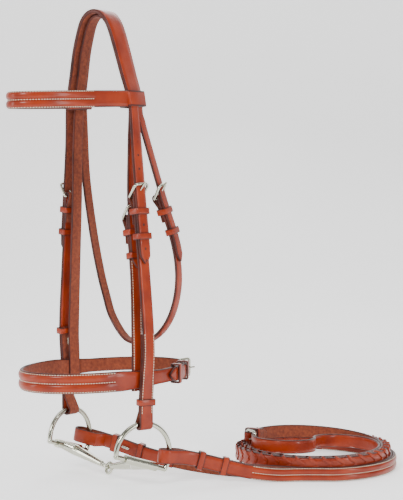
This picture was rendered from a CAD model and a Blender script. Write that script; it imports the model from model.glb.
"""Looks of the snaffle bridle: leather straps, stitching, lacing and polished bit."""
import math

import bmesh
import bpy
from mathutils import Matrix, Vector


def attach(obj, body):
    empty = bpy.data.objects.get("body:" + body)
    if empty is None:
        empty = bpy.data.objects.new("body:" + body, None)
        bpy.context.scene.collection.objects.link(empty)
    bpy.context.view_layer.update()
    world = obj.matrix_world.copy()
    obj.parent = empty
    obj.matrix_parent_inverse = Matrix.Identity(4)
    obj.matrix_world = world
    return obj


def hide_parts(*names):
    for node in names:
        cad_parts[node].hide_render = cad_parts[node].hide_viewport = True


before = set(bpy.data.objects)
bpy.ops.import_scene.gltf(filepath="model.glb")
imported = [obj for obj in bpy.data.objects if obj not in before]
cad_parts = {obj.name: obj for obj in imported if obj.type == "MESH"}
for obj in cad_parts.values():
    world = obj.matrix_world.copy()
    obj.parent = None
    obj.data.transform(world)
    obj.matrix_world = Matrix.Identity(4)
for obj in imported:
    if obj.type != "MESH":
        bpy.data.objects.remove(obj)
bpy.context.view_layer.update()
MM = 0.001

# ------------------------------------------------------------------ camera
eye = Vector((1.2798, -0.9832, -0.167))
azimuth, pitch = math.radians(48.5), math.radians(3.2)
aim = Vector((-math.sin(azimuth) * math.cos(pitch), math.cos(azimuth) * math.cos(pitch),
              -math.sin(pitch)))
camera = bpy.data.objects.new("camera", bpy.data.cameras.new("camera"))
bpy.context.collection.objects.link(camera)
camera.location = eye
camera.rotation_euler = aim.to_track_quat("-Z", "Y").to_euler()
camera.data.lens = 104.4
camera.data.sensor_width = 36
bpy.context.scene.camera = camera

# ------------------------------------------------- sizes, mm, as in the CAD
CROWN_W, CHEEK_W, SLIP_W, THROAT_W, NOSE_W, BROW_W = 27, 16, 14, 12, 22, 19
CROWN_T, T, THROAT_BILLET_T, SKIVED_T, GAP = 4.5, 3.2, 3, 2, 0.2
WIRE_R = 2.75                 # the bit rings' wire
LIFT = T / 2 + GAP            # from a route to the middle of either strap that meets on it
BACK_GAP = T / 2 + SKIVED_T / 2 + 0.5
BEND_BAR = 1.4 + 0.3 + T / 2
BEND_RING = WIRE_R + 1.3 + T / 2
BEND_REIN = WIRE_R + 3 + T / 2
CROWN_TURN = 11.5
FLOOR_Z = -516
REIN_Z = FLOOR_Z + CHEEK_W / 2 + 0.4
RING_TOP_Z = -443.5
CROWN_SHIFT = 5.5             # the crown's middle lies this far behind the cheek route
LEGS_TOP_Z = -96              # the crown narrows to its cheek billets here
CHEEK_BAR_Z, HANGER_BAR_Z, THROAT_BAR_Z = -197, -221, -198

# Routes: [x, y, z, yaw of the outward face]
CROWN = [[43, -92, 17], [36, -64, 15.5], [29, -38, 14], [22.5, -16, 13], [17, -4.5, 12],
         [9.5, 3, 11.5], [0, 5.75, 11.5], [-9.5, 3, 11.5], [-17, -4.5, 11], [-22.5, -16, 10],
         [-30, -38, 8.5], [-36, -64, 6.5], [-42, -92, 5]]
UNDER_CROWN = [[38.3, -92, 17], [31.6, -64, 15.5], [24.9, -39, 14], [18.6, -18, 13],
               [13.6, -8, 12], [7.8, -1.1, 11.5], [0, 1.5, 11.5], [-7.8, -1.1, 11.5],
               [-13.6, -8, 11], [-18.6, -18, 10], [-25.8, -39, 8.5], [-31.6, -64, 6.5],
               [-37.4, -92, 5]]
NEAR_CHEEK = [[74.2, 5, -454, -10], [74.2, 5, -422, -10], [74.2, 7, -392, -6],
              [72.5, 10, -357, 0], [65.5, 10.5, -287, 2], [55, 10, -197, 8],
              [48.5, 10, -142, 12]]
OFF_CHEEK = [[-46.5, -5, -142, 2], [-52, -4.5, -197, 0], [-63, -2.5, -287, 2],
             [-71, 0, -347, 4], [-74.2, 4, -392, 7], [-74.2, 5, -422, 10],
             [-74.2, 5, -454, 10]]
NEAR_SLIP = [[63.3, 1, -412, 0], [63.3, 1, -380, 0], [60.5, 3, -350, 0], [51, 9, -282, 0],
             [36.2, 14, -207, 4], [35.5, 14.5, -142, 10]]
OFF_SLIP = [[-37.5, -4, -142, 4], [-40, -3.5, -203, 2], [-50, 1, -282, 0],
            [-60, 6, -352, -4], [-62, 8, -380, -6], [-62, 8.5, -410, -6]]
THROAT = [[-42, 5, -90, 5], [-44, 8, -122, 5], [-49, 15, -177, 6], [-51, 26, -237, 7],
          [-50, 35, -282, 8], [-45, 40, -312, 8], [-36, 43, -338, 8], [-16, 48, -362, 8],
          [6, 54, -366, 8], [26, 60, -357, 10], [41, 66, -338, 12], [50, 69.5, -312, 15],
          [54, 69, -282, 18], [53, 63, -247, 20], [46, 50, -200, 20], [41, 35.5, -150, 20],
          [39, 24, -112, 18], [39.5, 21.5, -90, 17]]
NEAR_REIN = [[78.5, 33, -482, 0], [80, 54, -485, 0], [86, 72, -490, 0], [101, 94, -497, 0],
             [118, 117, -504, 0], [136, 140, REIN_Z, 0], [154, 163, REIN_Z, 0]]
OFF_REIN = [[-85, 39, -479, 0], [-66, 49, -483, 0], [-42, 61, -489, 0], [-12, 77, -498, 0],
            [26, 97, -505, 0], [64, 114, REIN_Z, 0], [100, 132, REIN_Z, 0]]
COIL_CENTRE = (98, 240)


def unit(v):
    return v.normalized()


def catmull(a, b, c, d, t):
    return [0.5 * (2 * q + (r - p) * t + (2 * p - 5 * q + 4 * r - s) * t * t
                   + (3 * q - p - 3 * r + s) * t ** 3) for p, q, r, s in zip(a, b, c, d)]


def smooth(points, n):
    last = len(points) - 1
    out = [catmull(points[max(i - 1, 0)], points[i], points[i + 1],
                   points[min(i + 2, last)], k / n) for i in range(last) for k in range(n)]
    return out + [list(points[last])]


def frames(line, upright=False):
    """(point, outward, width direction, along) at every point of a route"""
    out = []
    last = len(line) - 1
    for i, e in enumerate(line):
        t = unit(Vector(line[min(i + 1, last)][:3]) - Vector(line[max(i - 1, 0)][:3]))
        yaw = math.radians(e[3])
        w0 = Vector((0, 0, 1)) if upright else Vector((-math.sin(yaw), math.cos(yaw), 0))
        w = unit(w0 - t * w0.dot(t))
        out.append((Vector(e[:3]), w.cross(t), w, t))
    return out


def frame_at(fr, side, z):
    for a, b in zip(fr, fr[1:]):
        if side * a[0].x > 0 and (a[0].z - z) * (b[0].z - z) <= 0:
            k = (z - a[0].z) / (b[0].z - a[0].z)
            return (a[0].lerp(b[0], k), a[1], a[2], a[3])
    raise ValueError("the route doesn't reach that height")


def stretch(fr, side, low, high):
    return [f for f in fr if side * f[0].x > 0 and low < f[0].z < high]


def moved(f, out=0.0, across=0.0, along=0.0):
    return (f[0] + f[1] * out + f[2] * across + f[3] * along, f[1], f[2], f[3])


def turned(f):
    return (f[0], f[1], -f[2], -f[3])


def layer(fr, out, width, thick, across=0.0):
    """Stations (point, width direction, width, thickness) along a route"""
    return [(f[0] + f[1] * out + f[2] * across, f[2], width, thick) for f in fr]


def turn_back(f, r, width, end_t=SKIVED_T, steps=12):
    out = []
    for k in range(steps + 1):
        a = math.pi * k / steps
        out.append((f[0] - f[1] * r * (1 - math.cos(a)) + f[3] * r * math.sin(a), f[2], width,
                    T + (end_t - T) * k / steps))
    return out


def fold(f, r, width, tail, run=2):
    back = [(2 * r, run), (BACK_GAP, run + 9), (BACK_GAP, (run + 9 + tail) / 2), (BACK_GAP, tail)]
    return turn_back(f, r, width) + [(f[0] - f[1] * o - f[3] * s, f[2], width, SKIVED_T)
                                     for o, s in back]


def crown_at(s, z, yaw, across=0.0):
    turn, y = math.radians(CROWN_TURN), math.radians(yaw)
    return [math.cos(turn) * s - math.sin(y) * across,
            math.sin(turn) * s - 0.061 * min(z, 0) + math.cos(y) * across, z, yaw]


cheek = frames(smooth(NEAR_CHEEK + [crown_at(*c, -CROWN_SHIFT) for c in CROWN] + OFF_CHEEK, 10))
slip = frames(smooth(NEAR_SLIP + [crown_at(*c) for c in UNDER_CROWN] + OFF_SLIP, 10))
throat = frames(smooth(THROAT, 8))
near_bar = frame_at(cheek, 1, CHEEK_BAR_Z)
off_bar = frame_at(cheek, -1, CHEEK_BAR_Z)
hanger_bar = frame_at(slip, 1, HANGER_BAR_Z)
throat_bar = frame_at(throat, 1, THROAT_BAR_Z)


# The noseband: an ellipse seen from above, ending on top of its own start
NOSE_A, NOSE_B, NOSE_Z, CHIN_START, BILLET_END = 65, 102, -395, 62, -335
NOSE_Y = 3.5
BROW_A, BROW_B, BROW_X, BROW_Y, BROW_Z, BROW_DIP = 46, 128, 2, -7, -91, 5


def nose_out(a):
    return 2 * LIFT * min(max((-262 - a) / 24, 0), 1)


def nose_frames(a1, a2, step, out=0.0):
    count = round((a1 - a2) / step)
    line = []
    for k in range(count + 1):
        a = a1 - k * step
        o = nose_out(a) + out
        line.append([(NOSE_A + o) * math.cos(math.radians(a)),
                     NOSE_Y + (NOSE_B + o) * math.sin(math.radians(a)), NOSE_Z, 0])
    return frames(line, True)


def nose_height(y):
    return CHEEK_W + (NOSE_W - CHEEK_W) * min(max((30 - y) / 50, 0), 1)


nose = nose_frames(CHIN_START, BILLET_END, 2.5)
chin_bar = turned(nose[0])


def brow_route(step):
    turn = math.radians(CROWN_TURN)
    line = []
    for k in range(int(180 / step) + 1):
        a = math.radians(k * step)
        line.append([BROW_X + BROW_A * math.cos(a) * math.cos(turn)
                     + BROW_B * math.sin(a) * math.sin(turn),
                     BROW_Y + BROW_A * math.cos(a) * math.sin(turn)
                     - BROW_B * math.sin(a) * math.cos(turn),
                     BROW_Z - BROW_DIP * math.sin(a), 0])
    return frames(line, True)


brow = brow_route(3)


# --------------------------------------------------------------- materials
def material(name, build):
    mat = bpy.data.materials.new(name)
    mat.use_nodes = True
    nodes, links = mat.node_tree.nodes, mat.node_tree.links
    build(nodes, links, nodes["Principled BSDF"])
    return mat


def noise(nodes, links, scale, detail=3.0):
    place = nodes.new("ShaderNodeTexCoord")
    tex = nodes.new("ShaderNodeTexNoise")
    tex.inputs["Scale"].default_value = scale
    tex.inputs["Detail"].default_value = detail
    links.new(place.outputs["Object"], tex.inputs["Vector"])
    return tex.outputs["Fac"]


def ramp(nodes, links, source, low, high, start=0.3, end=0.7):
    node = nodes.new("ShaderNodeValToRGB")
    node.color_ramp.elements[0].position = start
    node.color_ramp.elements[1].position = end
    node.color_ramp.elements[0].color = (*low, 1)
    node.color_ramp.elements[1].color = (*high, 1)
    links.new(source, node.inputs["Fac"])
    return node.outputs["Color"]


def bump(nodes, links, shader, source, strength, distance):
    node = nodes.new("ShaderNodeBump")
    node.inputs["Strength"].default_value = strength
    node.inputs["Distance"].default_value = distance
    links.new(source, node.inputs["Height"])
    links.new(node.outputs["Normal"], shader.inputs["Normal"])


def leather_look(low, high, rough, coat, grain):
    def build(nodes, links, shader):
        links.new(ramp(nodes, links, noise(nodes, links, 38, 6), low, high),
                  shader.inputs["Base Color"])
        dull = ramp(nodes, links, noise(nodes, links, 90), (rough,) * 3, (rough + 0.16,) * 3)
        links.new(dull, shader.inputs["Roughness"])
        shader.inputs["Specular IOR Level"].default_value = 0.2
        shader.inputs["Coat Weight"].default_value = coat
        shader.inputs["Coat Roughness"].default_value = 0.16
        place = nodes.new("ShaderNodeTexCoord")
        cells = nodes.new("ShaderNodeTexVoronoi")
        cells.inputs["Scale"].default_value = grain
        links.new(place.outputs["Object"], cells.inputs["Vector"])
        bump(nodes, links, shader, cells.outputs["Distance"], 0.22, 0.0004)
    return build


def suede_look(nodes, links, shader):
    links.new(ramp(nodes, links, noise(nodes, links, 320, 8), (0.12, 0.017, 0.004),
                   (0.25, 0.045, 0.011)), shader.inputs["Base Color"])
    shader.inputs["Roughness"].default_value = 0.86
    shader.inputs["Sheen Weight"].default_value = 0.1
    bump(nodes, links, shader, noise(nodes, links, 1400, 4), 0.5, 0.0006)


def thread_look(nodes, links, shader):
    links.new(ramp(nodes, links, noise(nodes, links, 700), (0.52, 0.40, 0.27), (0.80, 0.70, 0.55)),
              shader.inputs["Base Color"])
    shader.inputs["Roughness"].default_value = 0.75
    bump(nodes, links, shader, noise(nodes, links, 3000), 0.4, 0.0002)


def steel_look(nodes, links, shader):
    links.new(ramp(nodes, links, noise(nodes, links, 25), (0.42, 0.42, 0.33), (0.58, 0.58, 0.49)),
              shader.inputs["Base Color"])
    shader.inputs["Metallic"].default_value = 1.0
    links.new(ramp(nodes, links, noise(nodes, links, 160), (0.10,) * 3, (0.2,) * 3),
              shader.inputs["Roughness"])
    bump(nodes, links, shader, noise(nodes, links, 500), 0.02, 0.0001)


GRAIN = material("tan_leather", leather_look((0.17, 0.012, 0.001), (0.31, 0.030, 0.003),
                                             rough=0.34, coat=0.3, grain=1500))
EDGE = material("dark_edge", leather_look((0.030, 0.007, 0.006), (0.085, 0.016, 0.010),
                                          rough=0.4, coat=0.15, grain=900))
FLESH = material("suede_flesh", suede_look)
THREAD = material("cream_thread", thread_look)
STEEL = material("polished_steel", steel_look)


# ------------------------------------------------------------- mesh makers
def new_object(name, bm, mats, smooth_angle=50):
    bmesh.ops.recalc_face_normals(bm, faces=bm.faces)
    for v in bm.verts:
        v.co *= MM
    mesh = bpy.data.meshes.new(name)
    bm.to_mesh(mesh)
    bm.free()
    for m in mats:
        mesh.materials.append(m)
    mesh.shade_smooth()
    mesh.set_sharp_from_angle(angle=math.radians(smooth_angle))
    obj = bpy.data.objects.new(name, mesh)
    bpy.context.collection.objects.link(obj)
    return obj


def piece(obj, replaced=(), body="root"):
    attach(obj, body)
    if replaced:
        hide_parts(*replaced)
    return obj


def bridge(bm, r1, r2, wrap=True):
    """Quads between two rings of vertices; wrap closes the way round"""
    n = len(r1)
    return [bm.faces.new((r1[k], r1[(k + 1) % n], r2[(k + 1) % n], r2[k]))
            for k in range(n if wrap else n - 1)]


def cap(bm, rings):
    return [bm.faces.new(rings[0]), bm.faces.new(rings[-1])]


def across_and_out(stations, i):
    """The width direction and the outward direction at a station"""
    last = len(stations) - 1
    t = unit(stations[min(i + 1, last)][0] - stations[max(i - 1, 0)][0])
    w = unit(stations[i][1] - t * stations[i][1].dot(t))
    return w, w.cross(t)


CREASE = 1.7                  # a crease line runs this far inside each edge
CREASE_SIDE, CREASE_DEPTH = 0.45, 0.28
DOME = 0.12                   # the grain side's middle stands this far proud
TOP_POINTS, EDGE_STEPS, BACK_STEPS = 13, 6, 6


def strap_profile(w, t):
    """Points (across, out, material) round a strap; material 0 grain, 1 edge, 2 flesh"""
    hw, ht, r = w / 2, t / 2, min(0.42 * t, 1.3)
    inner = hw - r * 0.8
    pts = []
    for k in range(TOP_POINTS):
        a = -inner + 2 * inner * k / (TOP_POINTS - 1)
        b = ht + DOME * (1 - (a / hw) ** 2)
        if k in (1, TOP_POINTS - 2):
            a, b = math.copysign(hw - CREASE, a), b - CREASE_DEPTH
        elif k in (2, TOP_POINTS - 3):
            a = math.copysign(hw - CREASE - CREASE_SIDE, a)
        pts.append((a, b, 0))
    for k in range(1, EDGE_STEPS):
        q = math.pi * k / EDGE_STEPS
        pts.append((hw - r * (1 - math.sin(q)), ht * math.cos(q), 1))
    for k in range(BACK_STEPS + 1):
        pts.append((inner - 2 * inner * k / BACK_STEPS, -ht, 2))
    for k in range(1, EDGE_STEPS):
        q = math.pi * k / EDGE_STEPS
        pts.append((-hw + r * (1 - math.sin(q)), -ht * math.cos(q), 1))
    return pts


def strap(name, stations):
    """Sweeps a strap along its stations"""
    bm = bmesh.new()
    rings = []
    for i, (p, _, width, thick) in enumerate(stations):
        w, o = across_and_out(stations, i)
        pts = strap_profile(width, thick)
        rings.append([bm.verts.new(p + w * a + o * b) for a, b, _ in pts])
    slots = [m for _, _, m in pts]
    for r1, r2 in zip(rings, rings[1:]):
        for face, here, after in zip(bridge(bm, r1, r2), slots, slots[1:] + slots[:1]):
            face.material_index = here if here == after else 1
    for face in cap(bm, rings):
        face.material_index = 1
    return new_object(name, bm, (GRAIN, EDGE, FLESH))


def pointed(stations, length=10, at_end=True):
    """Narrows one end of a billet to a blunt point"""
    st = list(stations) if at_end else list(reversed(stations))
    tip, before = st[-1], st[-2]
    along = unit(tip[0] - before[0])
    keep = len(st) - 1
    while (tip[0] - st[keep][0]).length < length:
        keep -= 1
    base = st[:keep + 1]
    for k in range(1, 7):
        d = k / 6
        share = 1 - 0.78 * d ** 1.25
        base.append((tip[0] - along * length * (1 - d), tip[1], tip[2] * share, tip[3]))
    return base if at_end else list(reversed(base))


class Line:
    """Frames sampled by distance along a route"""

    def __init__(self, fr):
        self.fr = fr
        self.at = [0.0]
        for a, b in zip(fr, fr[1:]):
            self.at.append(self.at[-1] + (b[0] - a[0]).length)
        self.length = self.at[-1]

    def frame(self, s):
        s = min(max(s, 0.0), self.length)
        i = 0
        while i < len(self.at) - 2 and self.at[i + 1] < s:
            i += 1
        k = (s - self.at[i]) / max(self.at[i + 1] - self.at[i], 1e-9)
        a, b = self.fr[i], self.fr[i + 1]
        return (a[0].lerp(b[0], k), *(unit(x.lerp(y, k)) for x, y in zip(a[1:], b[1:])))


STITCH_PITCH, STITCH_L, STITCH_HALF, STITCH_RISE = 2.9, 2.2, 0.42, 0.3


def add_stitch(bm, p, n, w, t):
    rings = []
    for s, r in ((-0.5, 0.35), (-0.3, 1), (0.3, 1), (0.5, 0.35)):
        rings.append([bm.verts.new(p + t * s * STITCH_L + w * STITCH_HALF * r * math.cos(q)
                                   + n * STITCH_RISE * r * math.sin(q))
                      for q in (math.pi * 2 * k / 6 for k in range(6))])
    for r1, r2 in zip(rings, rings[1:]):
        bridge(bm, r1, r2)
    cap(bm, rings)


def thread_rows(name, rows, side=1):
    """rows are (Line, start, end, across, out); a row of thread stitches along each.
    side is where the grain faces: 1 for the frames' outward side, -1 for the other"""
    bm = bmesh.new()
    for line, s0, s1, across, out in rows:
        for k in range(int((s1 - s0) / STITCH_PITCH)):
            p, n, w, t = line.frame(s0 + (k + 0.5) * STITCH_PITCH)
            add_stitch(bm, p + n * side * out + w * across, n * side, w, t)
    return new_object(name, bm, (THREAD,), 80)


def stitching(name, rows):
    return piece(thread_rows(name, rows))


def loop_band(name, f, low, high, width, height, wall, room, body="root", replaced=()):
    """A stitched leather keeper or runner: a rounded band round the stacked straps"""
    bm = bmesh.new()
    add_band(bm, f, low, high, width, height, wall, room)
    return piece(new_object(name, bm, (GRAIN, EDGE), 40), replaced, body=body)


def add_band(bm, f, low, high, width, height, wall, room):
    hx, hy = (high - low) / 2 + room, width / 2 + room
    cx = (high + low) / 2
    corner = 1.2 * 0.2
    path = []
    for sx, sy, start in ((1, 1, 0), (-1, 1, 90), (-1, -1, 180), (1, -1, 270)):
        for k in range(5):
            q = math.radians(start + 22.5 * k)
            path.append((Vector((cx + sx * (hx - corner), sy * (hy - corner))),
                         Vector((math.cos(q), math.sin(q)))))
    section = ((0.0, -0.5), (wall * 0.75, -0.5), (wall, -0.40), (wall, 0.0), (wall, 0.40),
               (wall * 0.75, 0.5), (0.0, 0.5))
    rings = []
    for centre, direction in path:
        ring = []
        for out, along in section:
            q = centre + direction * (corner + out)
            ring.append(bm.verts.new(f[0] + f[1] * q.x + f[2] * q.y + f[3] * along * height))
        rings.append(ring)
    for i, r1 in enumerate(rings):
        for k, face in enumerate(bridge(bm, r1, rings[(i + 1) % len(rings)])):
            face.material_index = 0 if k in (2, 3) else 1


def rev(items):
    return list(reversed(items))


HOLE_RINGS = ((0.01, 0.14), (1.2, 0.14), (1.35, 0.24), (1.7, -0.1))   # radius, height


def holes(name, f, count, out):
    """Raised dark discs on a billet where the CAD has punched holes"""
    bm = bmesh.new()
    for k in range(1, count + 1):
        for s in (-1, 1):
            if s * k != 1:
                c = moved(f, out, 0, k * 15 if s > 0 else -18 - k * 13)
                rows = [[bm.verts.new(c[0] + c[1] * rise + (c[2] * math.cos(q)
                                      + c[3] * math.sin(q)) * r)
                         for q in (math.pi * 2 * j / 14 for j in range(14))]
                        for r, rise in HOLE_RINGS]
                for r1, r2 in zip(rows, rows[1:]):
                    bridge(bm, r1, r2)
    return piece(new_object(name, bm, (EDGE,)))


# ------------------------------------------------------------------ straps
def above(fr, low):
    return [f for f in fr if f[0].z >= low]


piece(strap("crownpiece", pointed(pointed(
    layer(stretch(cheek, 1, -278, LEGS_TOP_Z), LIFT, CHEEK_W, T)
    + layer(above(cheek, LEGS_TOP_Z), 0, CROWN_W, CROWN_T, CROWN_SHIFT)
    + layer(stretch(cheek, -1, -264, LEGS_TOP_Z), LIFT, CHEEK_W, T)), at_end=False)),
      ["headpiece"])
piece(strap("throat_billet", pointed(
    layer(stretch(throat, 1, -272, -112), LIFT, THROAT_W, THROAT_BILLET_T)
    + layer(stretch(throat, 1, -111, -80), 0.6, THROAT_W, THROAT_BILLET_T), at_end=False)))
piece(strap("slip_strap", pointed(
    layer(stretch(slip, 1, -282, LEGS_TOP_Z), LIFT, SLIP_W, T)
    + layer(above(slip, LEGS_TOP_Z), 0, SLIP_W, T)
    + layer(stretch(slip, -1, -409, LEGS_TOP_Z), 0, SLIP_W, T), at_end=False)), ["sliphead"])
throat_body = [f for f in throat if f[0].x < 0 or f[0].z < -203]
piece(strap("throat_strap", layer(throat_body, -LIFT, THROAT_W, T)
            + fold(moved(throat_bar, -LIFT), BEND_BAR, THROAT_W, 28)), ["throatlatch"])


def cheekpiece(name, side, bar, replaced):
    up = stretch(cheek, side, -441, -200)
    body = up if side > 0 else rev(up)
    base = frame_at(cheek, side, RING_TOP_Z)
    bottom = (base[0] - base[1] * LIFT, base[1], base[2], -base[3] if side > 0 else base[3])
    top = (bar[0] - bar[1] * LIFT, bar[1], bar[2], bar[3] if side > 0 else -bar[3])
    tail = [f for f in body if -430 < f[0].z < -344]
    stations = (rev(turn_back(bottom, BEND_RING, CHEEK_W)
                    + layer(tail, -LIFT - BACK_GAP, CHEEK_W, SKIVED_T))
                + layer(body, -LIFT, CHEEK_W, T) + fold(top, BEND_BAR, CHEEK_W, 30))
    piece(strap(name, stations), [replaced])
    return Line(body)


near_line = cheekpiece("near_cheek_strap", 1, near_bar, "near_cheekpiece")
off_line = cheekpiece("off_cheek_strap", -1, off_bar, "off_cheekpiece")
hanger_body = stretch(slip, 1, -408, -224)
piece(strap("hanger_strap", layer(hanger_body, -LIFT, SLIP_W, T)
            + fold(moved(hanger_bar, -LIFT), BEND_BAR, SLIP_W, 28)), ["near_noseband_hanger"])

chin_fold = fold((*nose[0][:3], -nose[0][3]), BEND_BAR, CHEEK_W, 26)
nose_stations = rev(chin_fold) + [(f[0], f[2], nose_height(f[0].y), T) for f in nose[1:]]
piece(strap("noseband_strap", pointed(nose_stations)), ["noseband"])
piece(strap("browband_strap", layer(brow, 0, BROW_W - 1, T)), ["browband"])


def ridge(name, stations, replaced=()):
    """A stuffed ridge laid along a strap: half-round on top, flat beneath"""
    bm = bmesh.new()
    rings = []
    last = len(stations) - 1
    for i, (p, _, width, thick) in enumerate(stations):
        w, o = across_and_out(stations, i)
        taper = min(1, 0.3 + 0.35 * min(i, last - i))
        rings.append([bm.verts.new(p + w * width / 2 * math.cos(q) + o * (
            taper * (thick / 2 + 0.5) * math.sin(q) - 0.6 * thick / 2))
            for q in (math.pi * k / 10 for k in range(11))])
    for r1, r2 in zip(rings, rings[1:]):
        bridge(bm, r1, r2)
    cap(bm, rings)
    return piece(new_object(name, bm, (GRAIN,)), replaced)


def raised_front(name, front, apart, width, replaced):
    """Two ridges, apart above and below the middle of a band"""
    for k, up in enumerate((apart, -apart)):
        ridge(f"{name}_ridge_{k + 1}",
              [(f[0] + f[1] * (T / 2 + 0.9) + Vector((0, 0, up)), f[2], width, 2) for f in front],
              [replaced] if k == 0 else [])


# Raised fronts, then a row of stitches beside every ridge
nose_front = nose_frames(-18, -162, 3)
raised_front("noseband", nose_front, 5, 7.6, "noseband_raised_front")
brow_front = brow[8:53]
raised_front("browband", brow_front, 4.4, 6.8, "browband_raised_front")
nose_run, brow_run = Line(nose_front), Line(brow_front)
stitching("noseband_stitches", [(nose_run, 1, nose_run.length - 1, a, T / 2 + 0.2)
                                for a in (-9.3, 0, 9.3)])
stitching("browband_stitches", [(brow_run, 1, brow_run.length - 1, a, T / 2 + 0.2)
                                for a in (-8.1, 0, 8.1)])
stitching("cheek_stitches", [(line, 8, 96, a, -LIFT + T / 2 + 0.1)
                             for line in (near_line, Line(rev(off_line.fr))) for a in (-6, 6)])
hanger_run_line = Line(hanger_body)
stitching("hanger_stitches", [(hanger_run_line, 0, hanger_run_line.length * 0.9, a,
                               -LIFT + T / 2 + 0.1) for a in (-5, 5)])


# -------------------------------------------------------- keepers, runners
LAYERS_OUT = LIFT + T / 2                    # a billet's outer face
FOLD_IN = -LIFT - T / 2 - 0.5 - SKIVED_T     # a folded-back end's inner face
H, WALL = 7, 1.6                             # a keeper's height along the strap, its leather


def nose_at(a, out=0.0):
    return nose_frames(a + 1, a - 1, 1, out)[1]


def keeper(name, f, width):
    loop_band(name, moved(f, 0, 0, -16), FOLD_IN, LAYERS_OUT, width, H, WALL, 0.35, replaced=[name])


def runner(name, f, width, room=0.5):
    loop_band(name, f, -LAYERS_OUT, LAYERS_OUT, width, H, WALL, room, name, [name])


off_up = turned(off_bar)
keeper("near_cheek_keeper", near_bar, CHEEK_W)
keeper("off_cheek_keeper", off_up, CHEEK_W)
keeper("hanger_keeper", hanger_bar, SLIP_W)
keeper("throat_keeper", throat_bar, THROAT_W)
loop_band("chin_keeper", nose_at(53, LIFT), FOLD_IN, LAYERS_OUT, CHEEK_W + 1, H, WALL, 0.6,
          replaced=["chin_keeper"])
runner("near_cheek_runner", frame_at(cheek, 1, -240), CHEEK_W)
runner("off_cheek_runner", turned(frame_at(cheek, -1, -238)), CHEEK_W)
runner("hanger_runner", frame_at(slip, 1, -262), SLIP_W)
runner("throat_runner", frame_at(throat, 1, -236), THROAT_W)
runner("chin_runner", turned(nose_at(35, LIFT)), CHEEK_W + 1, 0.9)
for side, word in ((1, "near"), (-1, "off")):
    for k, h in enumerate((24,) if side > 0 else (24, 92)):
        loop_band(f"{word}_cheek_bit_keeper_{k + 1}",
                  moved(frame_at(cheek, side, RING_TOP_Z + h), -LIFT),
                  -T / 2 - 0.5 - SKIVED_T, T / 2, CHEEK_W, H, WALL, 0.5,
                  replaced=[f"{word}_cheek_bit_keepers"] if k == 0 else ())
    leg = frame_at(cheek, side, BROW_Z)
    loop_band(f"{word}_browband_loop", moved(leg, -2, CROWN_SHIFT), -6.5, 4.8, CROWN_W,
              BROW_W - 2, 2, 0.4)


# ------------------------------------------------------------------- reins
CX, CY = COIL_CENTRE
JOIN_Z = FLOOR_Z + 2 * CHEEK_W + 5 - CHEEK_W / 2
TURN_IN = 6.98                # a rein's winding tightens by this much each turn
BUCKLE_A = 218                # where the centre buckle is, degrees round the coil
NEAR_R, OFF_R, JOIN_R = 95, 91.5, 84    # the windings' start and the joined strap, radii
BUCKLE_OUT = 9.6              # the centre buckle stands this far off the joined strap
CROSS_A = 52                  # the off rein leaves the coil here, degrees, after two turns


def ease(x):
    x = min(max(x, 0), 1)
    return x * x * (3 - 2 * x)


def wound(a, r):
    """A point at a degrees of winding: it climbs 10 mm from 90 to 290 and to the join at the end"""
    rise = 10 * ease((a - 90) / 200) + (JOIN_Z - REIN_Z - 10) * ease((a - 740) / 190)
    return [CX + r * math.cos(math.radians(a)), CY + r * math.sin(math.radians(a)),
            REIN_Z + rise, 0]


def winding(start, end, outer):
    return [wound(a, outer - TURN_IN * (a + 32) / 360) for a in range(start, end + 1, 3)]


def rein_tail(route, side):
    """The rein's end, back through its keepers and round the ring"""
    f = route[0]
    back = [(route[k][0] - route[k][1] * side * (2 * BEND_REIN if k < 5 else BACK_GAP), f[2],
             CHEEK_W, SKIVED_T) for k in range(15, 0, -1)]
    arc = [(f[0] - f[1] * side * BEND_REIN * (1 - math.cos(a)) - f[3] * BEND_REIN * math.sin(a),
            f[2], CHEEK_W, T + (SKIVED_T - T) * a / math.pi)
           for a in (math.pi * k / 12 for k in range(12, 0, -1))]
    return back + arc


def crossing(leave_r, meet_r):
    """Two half circles that take the off rein across the coil to the buckle"""
    low = wound(LEAVE, 0)[2]
    out = []
    for k in range(1, 73):
        if k <= 36:
            a, centre_a, r = math.radians(CROSS_A + 5 * k), CROSS_A, leave_r / 2
        else:
            a, centre_a, r = math.radians(CROSS_A - 5 * (k - 36)), CROSS_A + 180, meet_r / 2
        c = math.radians(centre_a)
        out.append([CX + r * (math.cos(c) + math.cos(a)), CY + r * (math.sin(c) + math.sin(a)),
                    low + (JOIN_Z - low) * ease(k / 60), 0])
    return out


def arc_at_join(r, angles):
    return [[CX + r * math.cos(math.radians(a)), CY + r * math.sin(math.radians(a)), JOIN_Z, 0]
            for a in angles]


LEAVE = CROSS_A + 720
near_start = smooth(NEAR_REIN + [wound(-32, NEAR_R)], 4)
near_path = frames(near_start + winding(-29, BUCKLE_A + 720, NEAR_R), True)
off_start = smooth(OFF_REIN + [wound(-58, OFF_R + 0.5)], 4)
meet_r = JOIN_R - BUCKLE_OUT - LIFT
off_path = frames(off_start + winding(-55, LEAVE, OFF_R)
                  + crossing(OFF_R - TURN_IN * (LEAVE + 32) / 360, meet_r)
                  + arc_at_join(meet_r, range(229, 186, -3)), True)
near_rein_line, off_rein_line = Line(near_path), Line(off_path)


LACE_PITCH, LACE_RUN = 15, 11
LACE_SECTION = ((-1.9, -0.5), (-1.7, 0.35), (0, 0.6), (1.7, 0.35), (1.9, -0.5))


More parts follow.
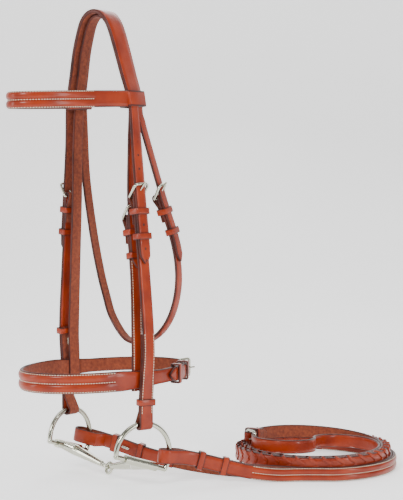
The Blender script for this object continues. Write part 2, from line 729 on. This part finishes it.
def lace(bm, line, start, end, side):
    """Flat lace in chevrons on the grain side, from both edges down into the middle"""
    half = CHEEK_W / 2
    for k in range(int((end - start) / LACE_PITCH)):
        s = start + k * LACE_PITCH
        for up in (1, -1):
            rows = []
            for j in range(9):
                u = j / 8
                p, n, w, t = line.frame(s + LACE_RUN * u)
                out = T / 2 + 0.55 + 0.5 * math.sin(math.pi * u)
                across = up * (0.6 + (half + 0.2 - 0.6) * (1 - u))
                centre = p + w * across + n * side * (out if j else out - T)
                along = unit(t * LACE_RUN - w * up * half)
                over = unit(along.cross(n * side))
                rows.append([bm.verts.new(centre + over * a + n * side * b)
                             for a, b in LACE_SECTION])
            for r1, r2 in zip(rows, rows[1:]):
                bridge(bm, r1, r2, wrap=False)
            cap(bm, rows)


def joined(objects, name):
    with bpy.context.temp_override(active_object=objects[0], object=objects[0],
                                   selected_objects=objects, selected_editable_objects=objects):
        bpy.ops.object.join()
    objects[0].name = name
    return objects[0]


RIDGE_FROM, RIDGE_TO, LACED_TO = 100, 560, 1240     # along a rein from its ring


def rein(name, line, stations, side, replaced):
    """side is where the grain faces: 1 for the frames' outward side, -1 for the other"""
    parts = [strap(name, stations)]
    ridge_run = [line.frame(s) for s in range(RIDGE_FROM, RIDGE_TO + 1, 3)]
    for up in (3.5, -3.5):
        st = [(f[0] + f[1] * side * (T / 2 + 0.55) + f[2] * up, f[2], 5.6, 1.4) for f in ridge_run]
        parts.append(ridge(f"{name}_ridge_{up}", st if side > 0 else rev(st)))
    parts.append(thread_rows(f"{name}_stitches", [
        (line, RIDGE_FROM, RIDGE_TO, a, T / 2 + 0.15) for a in (-6.9, 0, 6.9)], side))
    bm = bmesh.new()
    lace(bm, line, RIDGE_TO + 15, LACED_TO, side)
    parts.append(new_object(f"{name}_lace", bm, (GRAIN,), 60))
    obj = joined(parts, name)
    piece(obj, replaced)


piece(strap("near_rein_end", rev(rein_tail(near_path, -1) + layer(near_path[:2], 0, CHEEK_W, T))))
piece(strap("off_rein_end", rein_tail(off_path, 1) + layer(off_path[:2], 0, CHEEK_W, T)))

# The near rein holds the centre buckle: its end folds round the buckle's bar
last = near_path[-1]
fold_back = turn_back(last, BEND_BAR, CHEEK_W) + [
    (f[0] - f[1] * (2 * BEND_BAR if k < 2 else BACK_GAP), f[2], CHEEK_W, SKIVED_T)
    for k, f in enumerate(rev(near_path[-9:-1]))]
near_fold = piece(strap("near_rein_fold", fold_back))
loop_band("rein_centre_keeper", near_rein_line.frame(near_rein_line.length - 14), FOLD_IN - LIFT,
          T / 2 + 2 * LIFT, CHEEK_W, H, WALL, 0.5, replaced=["rein_centre_keeper"])
for line, side, word, spots in ((near_rein_line, -1, "near", (8, 12)),
                                (off_rein_line, 1, "off", (7, 11))):
    for k, spot in enumerate(spots):
        f = line.fr[spot] if side > 0 else turned((line.fr[spot][0], -line.fr[spot][1],
                                                   *line.fr[spot][2:]))
        loop_band(f"{word}_rein_keeper_{k + 1}", f,
                  -T / 2 - 0.5 - SKIVED_T, T / 2, CHEEK_W, H, WALL, 0.7,
                  replaced=[f"{word}_rein_keepers"] if k == 0 else ())
rein("near_rein_strap", near_rein_line, rev(layer(near_path, 0, CHEEK_W, T)), -1,
     ["near_rein", "rein_coil"])
rein("off_rein_strap", off_rein_line, pointed(layer(off_path, 0, CHEEK_W, T)), 1,
     ["off_rein", "rein_centre_join"])


# ------------------------------------------------- holes and metal fittings
holes("near_billet_holes", near_bar, 4, LIFT + T / 2 + 0.05)
holes("off_billet_holes", off_up, 3, LIFT + T / 2 + 0.05)
holes("slip_billet_holes", hanger_bar, 2, LIFT + T / 2 + 0.05)
holes("throat_billet_holes", throat_bar, 3, LIFT + THROAT_BILLET_T / 2 + 0.05)
WIRE, REST_UP = 1.5, 13
BAR_IN, REST_OUT = -LIFT - BEND_BAR, LAYERS_OUT + 0.8 + WIRE


def tube(bm, points, r, sides=14):
    """A closed wire of radius r through the points"""
    rings = []
    side = None
    for i, p in enumerate(points):
        t = unit(points[(i + 1) % len(points)] - points[i - 1])
        side = unit(t.orthogonal() if side is None else side - t * side.dot(t))
        over = t.cross(side)
        rings.append([bm.verts.new(p + side * r * math.cos(q) + over * r * math.sin(q))
                      for q in (math.pi * 2 * k / sides for k in range(sides))])
    for i, r1 in enumerate(rings):
        bridge(bm, r1, rings[(i + 1) % len(rings)])


def buckle(name, f, width):
    """A frame of bent wire: its bar is in the fold, its far side rounded"""
    y = width / 2 + 2.2
    slope = Vector((REST_OUT - BAR_IN, REST_UP))
    far, slope = slope.length, slope.normalized()
    points = []
    for sx, sy, r, start in ((1, 1, 4, 0), (-1, 1, 4, 90), (-1, 0, 1.8, 180), (1, 0, 1.8, 270)):
        cx, cs = sx * (y - r), far - r if sy else r
        for k in range(7):
            q = math.radians(start + 15 * k)
            a, s = cx + r * math.cos(q), cs + r * math.sin(q)
            points.append(f[0] + f[1] * (BAR_IN + slope.x * s) + f[2] * a + f[3] * slope.y * s)
    bm = bmesh.new()
    tube(bm, points, WIRE)
    piece(new_object(name + "_frame", bm, (STEEL,)), [name])


join = frames(arc_at_join(JOIN_R, range(BUCKLE_A - 30, BUCKLE_A + 37, 6)), True)
buckle("near_cheek_buckle", near_bar, CHEEK_W)
buckle("off_cheek_buckle", off_up, CHEEK_W)
buckle("hanger_buckle", hanger_bar, SLIP_W)
buckle("throat_buckle", throat_bar, THROAT_W)
buckle("chin_buckle", moved(chin_bar, LIFT), CHEEK_W)
buckle("rein_centre_buckle", moved(join[5], BUCKLE_OUT), CHEEK_W)
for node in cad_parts.values():
    if not node.hide_render:
        node.data.materials.clear()
        node.data.materials.append(STEEL)
        node.data.shade_smooth()
        node.data.set_sharp_from_angle(angle=math.radians(32))

# ------------------------------------------------------------ paper, lights
# One sheet of white paper: floor under the bridle, then a curve up behind it. It hides the
# bridle from a camera that stands behind the sheet
behind = Vector((math.sin(-azimuth), math.cos(azimuth), 0))
aside = Vector((behind.y, -behind.x, 0))
FLAT, CURVE_R = 1.4, 1.2      # metres
curve = [(FLAT + CURVE_R * math.sin(q), CURVE_R - CURVE_R * math.cos(q))
         for q in (math.pi / 2 * k / 12 for k in range(1, 13))]
bm = bmesh.new()
rows = [[bm.verts.new(behind * run + aside * s + Vector((0, 0, FLOOR_Z * MM + up)))
         for s in (-5, 5)]
        for run, up in [(-4, 0), (FLAT, 0), *curve, (FLAT + CURVE_R, 4)]]
for r1, r2 in zip(rows, rows[1:]):
    bridge(bm, r1, r2, wrap=False)
paper_mesh = bpy.data.meshes.new("paper")
bm.to_mesh(paper_mesh)
bm.free()
paper_mesh.shade_smooth()
paper = bpy.data.objects.new("paper", paper_mesh)
bpy.context.collection.objects.link(paper)


def paper_look(nodes, links, shader):
    white = ramp(nodes, links, noise(nodes, links, 3), (0.93, 0.93, 0.93), (0.96, 0.96, 0.96))
    links.new(white, shader.inputs["Base Color"])
    links.new(white, shader.inputs["Emission Color"])
    shader.inputs["Emission Strength"].default_value = 0.75
    shader.inputs["Roughness"].default_value = 0.9


paper_mesh.materials.append(material("white_paper", paper_look))


def lamp(name, place, target, size, power, colour=(1, 1, 1)):
    data = bpy.data.lights.new(name, "AREA")
    data.shape = "RECTANGLE"
    data.size, data.size_y = size
    data.energy = power
    data.color = colour
    obj = bpy.data.objects.new(name, data)
    bpy.context.collection.objects.link(obj)
    obj.location = place
    obj.rotation_euler = (Vector(target) - Vector(place)).to_track_quat("-Z", "Y").to_euler()


middle = (0.05, 0.0, -0.28)
lamp("key", (0.9, -1.7, 0.9), middle, (0.6, 0.6), 36)
lamp("side", (1.8, 0.5, 0.2), middle, (0.3, 1.5), 18)
lamp("front", (-0.9, -1.6, 0.2), middle, (0.4, 1.2), 12)
lamp("back", (-1.0, 1.4, 0.9), middle, (1.0, 1.0), 10)
lamp("top", (0.1, 0.1, 1.5), middle, (1.6, 1.6), 16)

world = bpy.data.worlds.new("studio")
bpy.context.scene.world = world
world.use_nodes = True
world.node_tree.nodes["Background"].inputs["Color"].default_value = (1, 1, 1, 1)
world.node_tree.nodes["Background"].inputs["Strength"].default_value = 0.35
